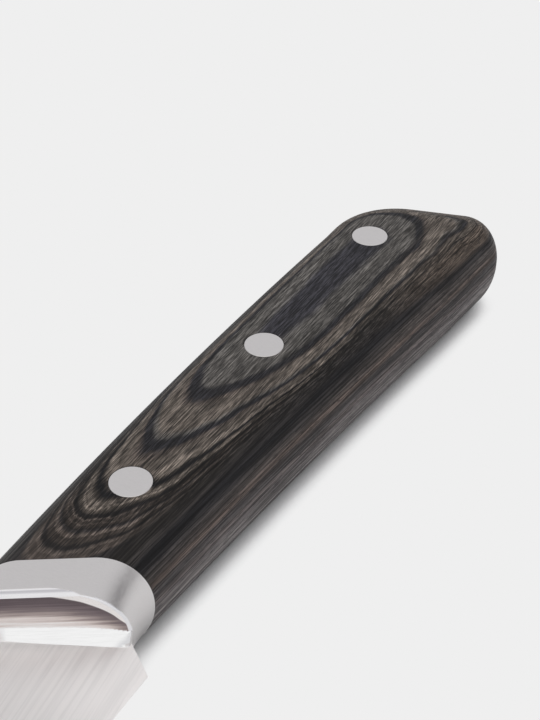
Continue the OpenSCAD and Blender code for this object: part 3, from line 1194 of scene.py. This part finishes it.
@dataclass
class WoodHandle:
    """The block of laminated wood, slotted from the spine and bored for the rivets."""

    datum: Datum
    form: HandleForm
    slot: float = 1.9
    slot_depth: float = 3.0
    slot_end: float = -98.15
    spine_begins: float = -5.0
    longest_step: float = 12.0
    bore_r: float = 3.25
    round_steps: int = 72
    flank_steps: int = 22
    rim: float = 1.12
    crisp: float = 30.0
    finish: LaminatedWood = field(default_factory=LaminatedWood)

    def heights(self) -> list[float]:
        """List the heights of the layers, close together where the flanks turn.

        Returns:
            The heights, from the lower cheek up.
        """
        middle = self.form.middle
        rises = [middle * math.sin(angle) for angle in evenly(0.0, math.pi / 2, self.flank_steps)]
        upper = [self.slot / 2, *(rise for rise in rises if rise > self.slot)]
        return [middle - rise for rise in reversed(upper)] + [middle + rise for rise in upper]

    def body(self) -> Mesh:
        """Loft the block through its layers.

        Returns:
            The block without its cheeks, whose rims stay open.
        """
        mesh = bmesh.new()
        heights = self.heights()
        ring = closed_ring(mesh, self.form.wood_ring(self.rim), heights[0])
        for height in heights:
            ring = next_layer(mesh, ring, self.form.wood_ring(self.form.share(height)), height)
        next_layer(mesh, ring, self.form.wood_ring(self.rim), heights[-1])
        return mesh

    def cut_slot(self, mesh: Mesh) -> None:
        """Sink the slot for the tang into the spine.

        Args:
            mesh: Mesh of the block.
        """
        middle = self.form.middle
        joint = self.form.crossing(self.form.spine_y, 0.0, self.form.joint_x)
        band = []
        for face in mesh.faces:
            centre = face.calc_center_median()
            level = all(abs(vert.co.z - middle) < self.slot for vert in face.verts)
            if level and centre.y < 0 and centre.x < joint:
                band += [face, *face.edges, *face.verts]
        band = list(dict.fromkeys(band))
        bmesh.ops.bisect_plane(mesh, geom=band, plane_co=(self.slot_end, 0, 0), plane_no=(1, 0, 0))
        floor = []
        for face in mesh.faces:
            centre = face.calc_center_median()
            on_spine = centre.y < self.spine_begins and abs(centre.z - middle) < TOUCH
            short = max(edge.calc_length() for edge in face.edges) < self.longest_step
            if on_spine and short and centre.x > self.slot_end:
                floor.append(face)
        pocket(mesh, floor, Vector((-self.form.lean, 1.0, 0.0)) * self.slot_depth)

    def at_height(self, edge: bmesh.types.BMEdge, height: float) -> bool:
        """Tell whether an edge lies at a height."""
        return abs(edge.verts[0].co.z - height) < TOUCH

    def on_bore(self, edge: bmesh.types.BMEdge, x: float) -> bool:
        """Tell whether an open edge belongs to the rim of the bore at a place along the knife."""
        radii = [math.hypot(vert.co.x - x, vert.co.y) for vert in edge.verts]
        return edge.is_boundary and all(abs(radius - self.bore_r) < TOUCH for radius in radii)

    def close_cheeks(self, mesh: Mesh) -> None:
        """Close both cheeks around the rivets' bores, which run right through.

        Args:
            mesh: Mesh of the block.
        """
        for height in (0.0, self.form.thickness):
            rim = [edge for edge in mesh.edges if edge.is_boundary and self.at_height(edge, height)]
            bores = []
            for x in RIVETS.values():
                spot = Matrix.Translation((x, 0, height))
                made = bmesh.ops.create_circle(
                    mesh, cap_ends=False, segments=self.round_steps, radius=self.bore_r, matrix=spot
                )
                bores += dict.fromkeys(edge for vert in made["verts"] for edge in vert.link_edges)
            bmesh.ops.triangle_fill(mesh, use_beauty=True, use_dissolve=False, edges=rim + bores)
        for x in RIVETS.values():
            bmesh.ops.bridge_loops(mesh, edges=[edge for edge in mesh.edges if self.on_bore(edge, x)])

    def build(self) -> bpy.types.Object:
        """Build and dress the wood.

        Returns:
            The block.
        """
        mesh = self.body()
        self.cut_slot(mesh)
        self.close_cheeks(mesh)
        piece = finished("handle_wood", mesh, self.datum, self.crisp)
        piece.data.materials.append(self.finish.build(self.datum, self.form))
        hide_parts("handle")
        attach(piece, BODY)
        return piece


class BolsterZone(Enum):
    """The bolster's zones, by their places in its row of finishes."""

    SADDLE = 0
    RIM = 1
    NOSE = 2
    FOOT = 3


@dataclass
class SteelBolster:
    """The saddle of steel between wood and blade: a swelling guard, an eased rim, a sloping foot."""

    datum: Datum
    form: HandleForm
    slot: float = 1.9
    slot_depth: float = 3.0
    slot_margin: float = 1.0
    nose_bevel: float = 0.9
    rim_h: float = 0.14
    rim_l: float = 0.3
    foot_l: float = 0.9
    foot_h: float = 2.3
    foot_taper: float = 0.42
    foot_fall: float = 6.0
    foot_slant: float = 27.7
    foot_least: float = 0.15
    hollow_h: float = 1.7
    hollow_l: float = 0.16
    clear_of_hollow: float = 0.15
    clear_of_bevel: float = 0.1
    ease: float = 0.5
    guard_steps: int = 8
    nose_steps: int = 44
    corner_steps: int = 5
    flank_steps: int = 22
    blade_steps: int = 4
    foot_steps: int = 32
    hollow_steps: int = 6
    bevel_steps: int = 6
    rim_steps: int = 4
    crisp: float = 25.0
    nose_zone: float = 2.0
    facing_rim: float = 0.45
    facing_nose: float = 0.965

    def foot_top(self, y: float) -> float:
        """Height of the foot above the blade at a place along the nose.

        Args:
            y: Place across the knife.

        Returns:
            The height.
        """
        form = self.form
        across = max(0.0, y + form.spine_reach) / (form.belly_reach + form.spine_reach)
        return self.foot_h * (1 - self.foot_taper * across**self.foot_fall)

    def foot_reach(self, y: float) -> float:
        """Length of the foot in front of the nose at a place along it."""
        turn = self.form.lean - math.tan(math.radians(self.foot_slant))
        return max(self.foot_least, self.foot_l + y * turn)

    def nose_x(self, y: float, rise: float, eased: float) -> float:
        """Place of the nose along the knife.

        Args:
            y: Place across the knife.
            rise: Height above or below the middle plane.
            eased: How far the rounded rim has drawn the nose back.

        Returns:
            The place, ahead of the slanted face where the foot slopes forward onto the blade.
        """
        over = rise - self.form.blade_half(y)
        top = self.foot_top(y)
        ahead = self.hollow_l * min(1.0, max(0.0, 1 - (over - top) / self.hollow_h)) ** 2
        if over < top:
            ahead = self.hollow_l + (self.foot_reach(y) - self.hollow_l) * (1 - max(0.0, over) / top)
        corner = max(0.0, rise - self.form.middle + self.nose_bevel) / math.cos(math.radians(self.form.slant))
        return self.form.bolster_l - y * self.form.lean + ahead - corner - eased

    def ring(self, share: float, rise: float, eased: float) -> list[Point]:
        """Outline of one layer: belly, joint, spine and nose, with the nose's corners eased.

        Args:
            share: Share of the sides' depth.
            rise: Height above or below the middle plane.
            eased: How far the rounded rim has drawn the nose back.

        Returns:
            The outline's points, as many for every layer.
        """
        form = self.form

        def nose(y: float) -> float:
            """Place of this layer's nose along the knife."""
            return self.nose_x(y, rise, eased)

        belly_joint = form.crossing(form.belly_y, share, form.joint_x)
        spine_joint = form.crossing(form.spine_y, share, form.joint_x)
        belly_end = form.crossing(form.belly_y, share, nose)
        spine_end = form.crossing(form.spine_y, share, nose)
        belly = form.run(form.belly_y, belly_end - self.ease, belly_joint, self.guard_steps, share)
        spine = form.run(form.spine_y, spine_joint, spine_end - self.ease, self.guard_steps, share)
        low, high = form.spine_y(spine_end, share), form.belly_y(belly_end, share)
        face = [(nose(y), y) for y in evenly(low + self.ease, high - self.ease, self.nose_steps)]
        at_spine = self.eased_corner(spine[-1], (spine_end, low), face[0])
        at_belly = self.eased_corner(face[-1], (belly_end, high), belly[0])
        return belly + spine + at_spine + face + at_belly

    def eased_corner(self, start: Point, corner: Point, end: Point) -> list[Point]:
        """Round a corner of a layer with a smooth curve, without its two ends.

        Args:
            start: Where the curve begins.
            corner: The sharp corner that it rounds.
            end: Where it ends.

        Returns:
            The points between its ends.
        """
        points = []
        for t in evenly(0.0, 1.0, self.corner_steps)[1:-1]:
            x, y = ((1 - t) ** 2 * a + 2 * t * (1 - t) * b + t * t * c for a, b, c in zip(start, corner, end))
            points.append((x, y))
        return points

    def layers(self) -> list[Point]:
        """List each layer's height from the middle plane and how far its rim is drawn back.

        Returns:
            The layers, from the middle out.
        """
        middle = self.form.middle
        blade = self.form.spine_t / 2
        low = middle - self.nose_bevel
        foot = evenly(self.form.bevel_t / 2, blade, self.blade_steps)[:-1]
        foot += evenly(blade, blade + self.foot_h, self.foot_steps)
        hollow = evenly(foot[-1], foot[-1] + self.hollow_h, self.hollow_steps)[1:]
        flank = [middle * math.sin(angle) for angle in evenly(0.0, math.pi / 2, self.flank_steps)]
        begins, ends = hollow[-1] + self.clear_of_hollow, low - self.clear_of_bevel
        flank = [rise for rise in flank if begins < rise < ends]
        bevel = evenly(low, middle - self.rim_h, self.bevel_steps)
        rim = [
            (middle - self.rim_h * (1 - part) ** 2, self.rim_l * part**2)
            for part in evenly(0.0, 1.0, self.rim_steps)[1:]
        ]
        return [(rise, 0.0) for rise in foot + hollow + flank + bevel] + rim

    def build(self, *finishes: bpy.types.Material) -> bpy.types.Object:
        """Build and dress the bolster.

        Args:
            finishes: Finish of each zone, in their order.

        Returns:
            The bolster.
        """
        middle = self.form.middle
        upper = self.layers()
        levels = [(middle - rise, rise, eased) for rise, eased in reversed(upper)]
        levels += [(middle + rise, rise, eased) for rise, eased in upper]
        mesh = bmesh.new()
        ring: list[Vert] = []
        for height, rise, eased in levels:
            outline = self.ring(self.form.share(height), rise, eased)
            ring = next_layer(mesh, ring, outline, height) if ring else closed_ring(mesh, outline, height)
        bmesh.ops.holes_fill(mesh, edges=[edge for edge in mesh.edges if edge.is_boundary], sides=0)
        mesh.normal_update()
        self.cut_slot(mesh)
        piece = finished("bolster_saddle", mesh, self.datum, self.crisp)
        self.dress(piece, finishes)
        return piece

    def cut_slot(self, mesh: Mesh) -> None:
        """Sink the slot for the tang into the spine.

        Args:
            mesh: Mesh of the saddle.
        """
        middle = self.form.middle
        inner = self.form.spine_y(0.0, 0.0) + self.slot_margin
        for side in (-1, 1):
            wall = (0, 0, middle + side * self.slot / 2)
            everything = [*mesh.verts, *mesh.edges, *mesh.faces]
            bmesh.ops.bisect_plane(mesh, geom=everything, plane_co=wall, plane_no=(0, 0, 1))
        band = [
            face for face in mesh.faces
            if abs(face.calc_center_median().z - middle) < self.slot / 2
            and all(vert.co.y < inner for vert in face.verts)
        ]
        pocket(mesh, band, Vector((-self.form.lean, 1.0, 0.0)) * self.slot_depth)

    def zone(self, place: Vector, facing: float) -> BolsterZone:
        """Find the zone of a face.

        Args:
            place: Middle of the face, in millimetres from the zero, with its height from the middle plane.
            facing: How squarely the face looks along the nose's own direction, one at most.

        Returns:
            The zone.
        """
        slant = math.radians(self.form.slant)
        ahead = place.x * math.cos(slant) + place.y * math.sin(slant)
        if facing <= self.facing_rim or ahead <= self.form.bolster_l * math.cos(slant) - self.nose_zone:
            return BolsterZone.SADDLE
        if abs(place.z) - self.form.blade_half(place.y) < self.foot_top(place.y):
            return BolsterZone.FOOT
        return BolsterZone.NOSE if facing > self.facing_nose else BolsterZone.RIM

    def dress(self, piece: bpy.types.Object, finishes: Sequence[bpy.types.Material]) -> None:
        """Give each zone its own finish, hide the part's own bolster and attach this one to the knife's body.

        Args:
            piece: The bolster.
            finishes: Finish of each zone, in their order.
        """
        slant = math.radians(self.form.slant)
        toward = Vector((math.cos(slant), math.sin(slant), 0.0))
        start = Vector((self.datum.x, self.datum.y, self.form.middle))
        for face in piece.data.polygons:
            face.material_index = self.zone(face.center / MM - start, face.normal.dot(toward)).value
        for finish in finishes:
            piece.data.materials.append(finish)
        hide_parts("bolster")
        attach(piece, BODY)


@dataclass
class CutlersRivet:
    """A rivet in two halves: a head with a hollow shank, and a head with the pin that fills it."""

    datum: Datum
    form: HandleForm
    name: str
    x: float
    head_r: float = 3.2
    head_h: float = 1.6
    tube_r: float = 2.1
    pin_r: float = 1.3
    bore_r: float = 1.35
    end_gap: float = 0.4
    edge: float = 0.08
    round_steps: int = 72
    crisp: float = 40.0

    def turned(self, name: str, profile: Sequence[Point]) -> bpy.types.Object:
        """Spin a profile of radius and height around the rivet's axis.

        Args:
            name: Name of the piece.
            profile: Radius and height of each corner.

        Returns:
            The piece.
        """
        mesh = bmesh.new()
        verts = [mesh.verts.new((radius, 0.0, height)) for radius, height in profile]
        edges = [mesh.edges.new(pair) for pair in zip(verts, verts[1:])]
        bmesh.ops.spin(
            mesh, geom=verts + edges, cent=(0, 0, 0), axis=(0, 0, 1), angle=math.tau,
            steps=self.round_steps, use_merge=True,
        )
        bmesh.ops.translate(mesh, verts=mesh.verts, vec=Vector((self.x, 0.0, 0.0)))
        return finished(name, mesh, self.datum, self.crisp)

    def build(self, steel: bpy.types.Material) -> list[bpy.types.Object]:
        """Build and dress both halves.

        Args:
            steel: Finish of the rivet.

        Returns:
            The half with the hollow shank and the half with the pin.
        """
        top = self.form.thickness
        low, high = self.head_h, top - self.head_h
        end = low + self.end_gap
        face_r = self.head_r - self.edge
        tube = self.turned(f"{self.name}_head_and_shank", [
            (0, top), (face_r, top), (self.head_r, top - self.edge), (self.head_r, high), (self.tube_r, high),
            (self.tube_r, end), (self.bore_r, end), (self.bore_r, high), (0, high),
        ])
        pin = self.turned(f"{self.name}_head_and_pin", [
            (0, 0), (face_r, 0), (self.head_r, self.edge), (self.head_r, low), (self.pin_r, low),
            (self.pin_r, high - self.end_gap), (0, high - self.end_gap),
        ])
        for piece, half in ((tube, "tube"), (pin, "pin")):
            piece.data.materials.append(steel)
            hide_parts(f"{self.name}_rivet_{half}")
            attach(piece, BODY)
        return [tube, pin]


# The studio.


@dataclass(frozen=True)
class Glow:
    """A round part of the surroundings, by its direction, with its own tone."""

    direction: Triple
    ends_at: float
    full_to: float
    tone: Colour

    def mask(self, graph: Graph) -> Socket:
        """Mark the part: one in its middle, zero outside.

        Args:
            graph: Graph of the world.

        Returns:
            The mark.
        """
        generated = graph.node("ShaderNodeTexCoord").outputs["Generated"]
        aim = graph.vector("DOT_PRODUCT", generated, tuple(Vector(self.direction).normalized()))
        limits = (math.cos(math.radians(angle)) for angle in (self.ends_at, self.full_to))
        return graph.span(aim.outputs["Value"], *limits)


@dataclass(frozen=True)
class Studio:
    """A pale sheet, soft light from above, and the camera."""

    datum: Datum
    sheet: Colour = srgb(239, 239, 239)
    sheet_half: float = 6.0
    sheet_roughness: float = 0.9
    shade_reach: float = 5.0
    shade_samples: int = 8
    clear_from: Point = (0.3, 0.72)
    camera_at: Triple = (98.371, 90.046, 151.944)
    camera_right: Triple = (-0.50237, 0.86465, 0.0)
    camera_up: Triple = (-0.52685, -0.30610, 0.79293)
    lens: float = 69.7
    sensor: float = 36.0
    nearest: float = 0.01
    around: Colour = srgb(238, 238, 240)
    glows: tuple[Glow, ...] = (
        Glow((0.76, 0.51, 0.40), 60.0, 46.0, (1.12, 1.12, 1.12)),
        Glow((-0.68, 0.73, -0.05), 34.0, 6.0, srgb(96, 93, 95)),
    )
    sky: float = 0.62
    seen_sky: float = 0.80
    key_strength: float = 1.25
    key_angle: float = 46.0
    key_from: Triple = (-0.10, -0.16, 1.0)

    def lay_sheet(self) -> None:
        """Lay the pale sheet that the knife rests on: even in the open, shaded close to the knife."""
        mesh = bmesh.new()
        bmesh.ops.create_grid(mesh, x_segments=1, y_segments=1, size=self.sheet_half)
        sheet = shown("sheet", mesh)
        material, graph, shader = new_material("pale_sheet")
        even = graph.node("ShaderNodeEmission")
        graph.feed(shader.inputs["Base Color"], self.sheet)
        graph.feed(even.inputs["Color"], self.sheet)
        shader.inputs["Roughness"].default_value = self.sheet_roughness
        shader.inputs["Specular IOR Level"].default_value = 0.0
        openness = graph.node("ShaderNodeAmbientOcclusion", samples=self.shade_samples)
        openness.inputs["Distance"].default_value = self.shade_reach * MM
        clear = graph.span(openness.outputs["AO"], *self.clear_from)
        blend = graph.node("ShaderNodeMixShader")
        seen = graph.node("ShaderNodeLightPath").outputs["Is Camera Ray"]
        graph.feed(blend.inputs[0], graph.product(clear, seen))
        graph.feed(blend.inputs[1], shader.outputs[0])
        graph.feed(blend.inputs[2], even.outputs[0])
        output = next(node for node in material.node_tree.nodes if node.type == "OUTPUT_MATERIAL")
        graph.feed(output.inputs["Surface"], blend.outputs[0])
        sheet.data.materials.append(material)

    def light(self) -> None:
        """Set the pale surroundings and the soft key light."""
        world = bpy.data.worlds.new("studio_world")
        bpy.context.scene.world = world
        world.use_nodes = True
        graph = Graph(world.node_tree)
        background = next(node for node in world.node_tree.nodes if node.type == "BACKGROUND")
        tone: object = self.around
        for glow in self.glows:
            tone = graph.mix(glow.mask(graph), tone, glow.tone)
        rays = graph.node("ShaderNodeLightPath")
        seen = graph.math("MAXIMUM", rays.outputs["Is Camera Ray"], rays.outputs["Is Glossy Ray"])
        graph.feed(background.inputs["Color"], graph.mix(seen, self.around, tone))
        level = graph.total(graph.product(seen, self.seen_sky - self.sky), self.sky)
        graph.feed(background.inputs["Strength"], level)
        lamp = bpy.data.lights.new("key", "SUN")
        lamp.energy = self.key_strength
        lamp.angle = math.radians(self.key_angle)
        key = bpy.data.objects.new("key", lamp)
        bpy.context.scene.collection.objects.link(key)
        key.visible_glossy = False
        key.rotation_euler = Vector(self.key_from).to_track_quat("Z", "Y").to_euler()

    def aim_camera(self) -> None:
        """Put the camera where the knife was seen from."""
        data = bpy.data.cameras.new("camera")
        data.lens = self.lens
        data.sensor_width = self.sensor
        data.clip_start = self.nearest
        camera = bpy.data.objects.new("camera", data)
        bpy.context.scene.collection.objects.link(camera)
        right = Vector(self.camera_right).normalized()
        up = Vector(self.camera_up).normalized()
        turn = Matrix((right, up, right.cross(up))).transposed()
        spot = (Vector(self.camera_at) + Vector((self.datum.x, self.datum.y, 0.0))) * MM
        camera.matrix_world = Matrix.Translation(spot) @ turn.to_4x4()
        bpy.context.scene.camera = camera

    def set_up(self) -> None:
        """Make the sheet, the light and the camera."""
        self.lay_sheet()
        self.light()
        self.aim_camera()
        bpy.context.scene.view_settings.view_transform = "Standard"


def steel_finishes(form: HandleForm) -> dict[str, SteelFinish]:
    """List the steel finishes by name.

    Args:
        form: Form of the handle.

    Returns:
        The finishes, in the order in which they are built.
    """
    buffed = SteelSurface.BUFFED
    # Painted light on the ground blade: full tone next to the bolster's nose, darker farther ahead.
    painted_shade_ahead = (form.bolster_l + 14.0, form.bolster_l + 1.0, 0.83, 1.0)
    return {
        "satin_steel": SteelFinish(SteelSurface.BELT_SATIN, srgb(226, 223, 222), 0.34, 0.01),
        "ground_steel": SteelFinish(
            SteelSurface.GROUND, srgb(252, 248, 246), 0.45, 0.006, mirrored=0.7, painted_light_near_nose=painted_shade_ahead
        ),
        # The rim's colour holds painted highlight lines: a grey line between white bands.
        "polished_steel": SteelFinish(buffed, srgb(240, 239, 241), 0.24, 0.0004, painted_reflection=RIM_PAINTED_HIGHLIGHTS),
        # The nose's colour holds a painted reflection: a dark band that fades to white toward the foot.
        "nose_painted_reflection_steel": SteelFinish(
            buffed, srgb(242, 241, 241), 0.2, 0.003, painted_reflection=NOSE_PAINTED_REFLECTION, streak=4.0, rim=NOSE_RIM
        ),
        "foot_steel": SteelFinish(buffed, srgb(252, 252, 252), 0.08, 0.0, fillet=0.28),
    }


def dress_blade(steel: bpy.types.Material) -> None:
    """Give the blade its steel.

    Args:
        steel: Finish of the blade.
    """
    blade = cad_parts["blade"]
    blade.data.materials.clear()
    blade.data.materials.append(steel)


def main() -> None:
    """Build the pieces in order and report each one."""
    logging.basicConfig(level=logging.INFO, format="%(name)s: %(message)s")
    datum = Datum.from_rivet("front_rivet_tube", -RIVETS["front"])
    form = HandleForm()
    Studio(datum).set_up()
    effects = SteelEffects()
    steels = {name: finish.build(name, datum, form, effects) for name, finish in steel_finishes(form).items()}
    satin = steels["satin_steel"]
    dress_blade(steels["ground_steel"])
    LOG.info("blade dressed")
    handle = WoodHandle(datum, form).build()
    LOG.info("%s built", handle.name)
    front = (steels["polished_steel"], steels["nose_painted_reflection_steel"], steels["foot_steel"])
    bolster = SteelBolster(datum, form).build(satin, *front)
    LOG.info("%s built", bolster.name)
    for name, x in RIVETS.items():
        for half in CutlersRivet(datum, form, name, x).build(satin):
            LOG.info("%s built", half.name)


if __name__ == "__main__":
    main()
